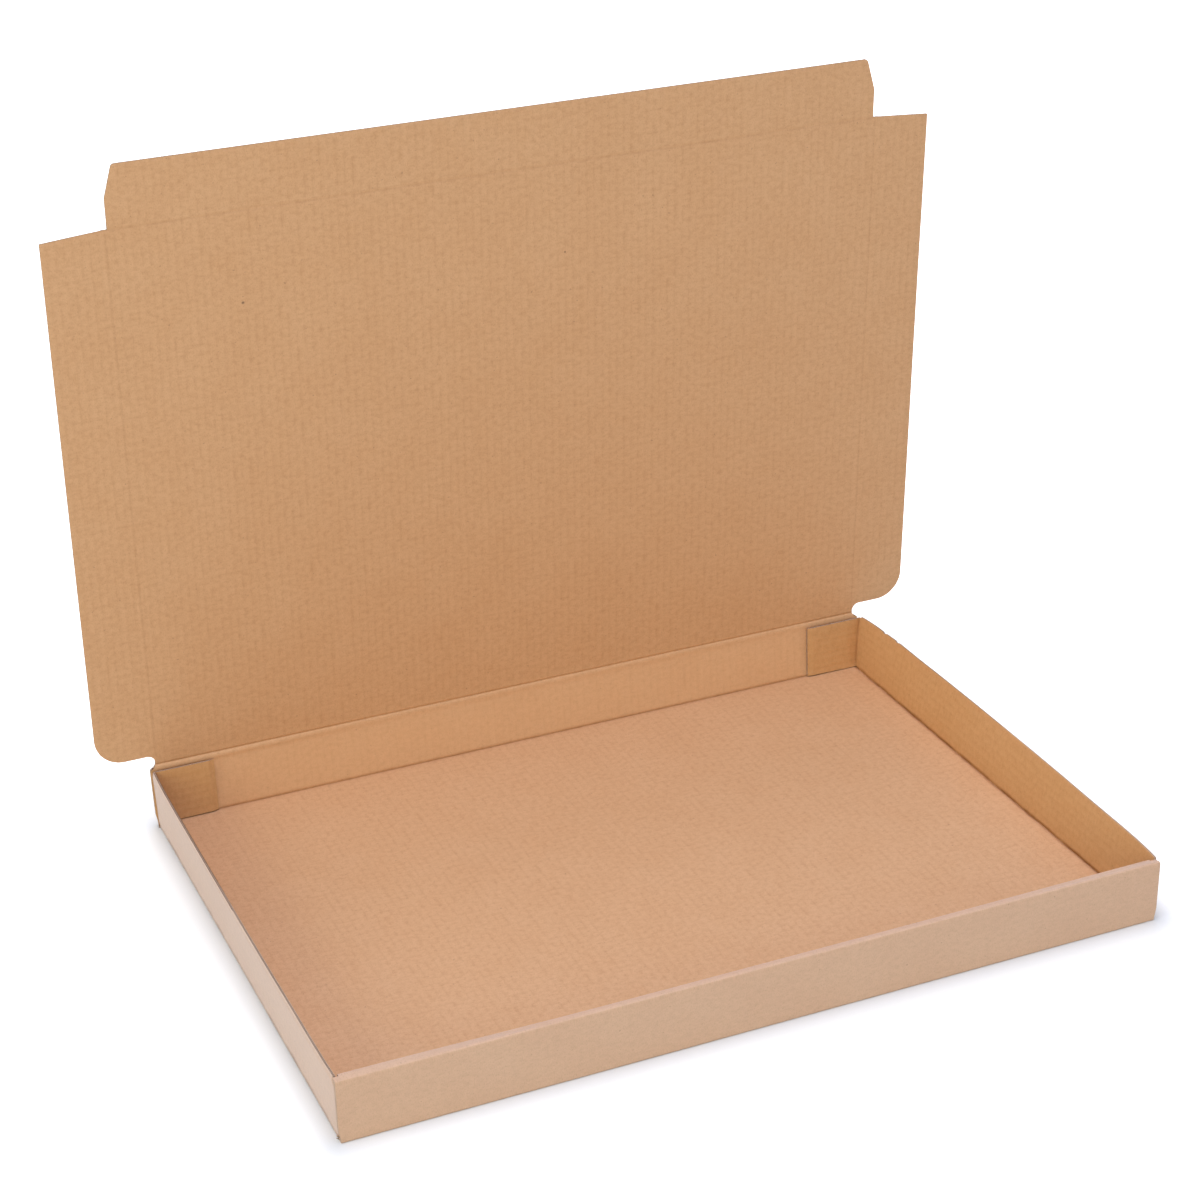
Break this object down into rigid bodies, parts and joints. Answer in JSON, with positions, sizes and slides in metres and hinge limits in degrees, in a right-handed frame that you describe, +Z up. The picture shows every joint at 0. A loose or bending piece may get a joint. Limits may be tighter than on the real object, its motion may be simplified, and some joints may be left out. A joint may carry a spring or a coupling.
{
  "type": "corrugated mailer box",
  "caption": "Shallow folded mailer box of thin fluted board with a roll-over front wall and an open hinged lid with side flaps and a tuck flap.",
  "frame": {"origin": "middle of the tray's underside", "axes": "+X to the right along the lid's hinge, +Y to the hinge at the back, +Z up"},
  "size_m": [0.396, 0.2526, 0.2996],
  "materials": {
    "kraft_board": "matte uncoated brown kraft liner with faint flute lines"
  },
  "bodies": {
    "tray": {"tray": "kraft_board"},
    "lid": {"lid": "kraft_board"},
    "left_side_flap": {"left_side_flap": "kraft_board"},
    "right_side_flap": {"right_side_flap": "kraft_board"},
    "tuck_flap": {"tuck_flap": "kraft_board"}
  },
  "joints": [
    {"name": "lid_hinge", "type": "hinge", "parent": "tray", "child": "lid", "pos_m": [0, 0.12686, 0.0286], "axis": [1, 0, 0], "range_deg": [-92, 88]},
    {"name": "left_flap_crease", "type": "hinge", "parent": "lid", "child": "left_side_flap", "pos_m": [-0.1718, 0.12259, 0.15098], "axis": [0, -0.0349, 0.9994], "range_deg": [0, 90]},
    {"name": "right_flap_crease", "type": "hinge", "parent": "lid", "child": "right_side_flap", "pos_m": [0.1718, 0.12259, 0.15098], "axis": [0, 0.0349, -0.9994], "range_deg": [0, 90]},
    {"name": "tuck_crease", "type": "hinge", "parent": "lid", "child": "tuck_flap", "pos_m": [0, 0.11832, 0.27336], "axis": [1, 0, 0], "range_deg": [0, 90]}
  ]
}
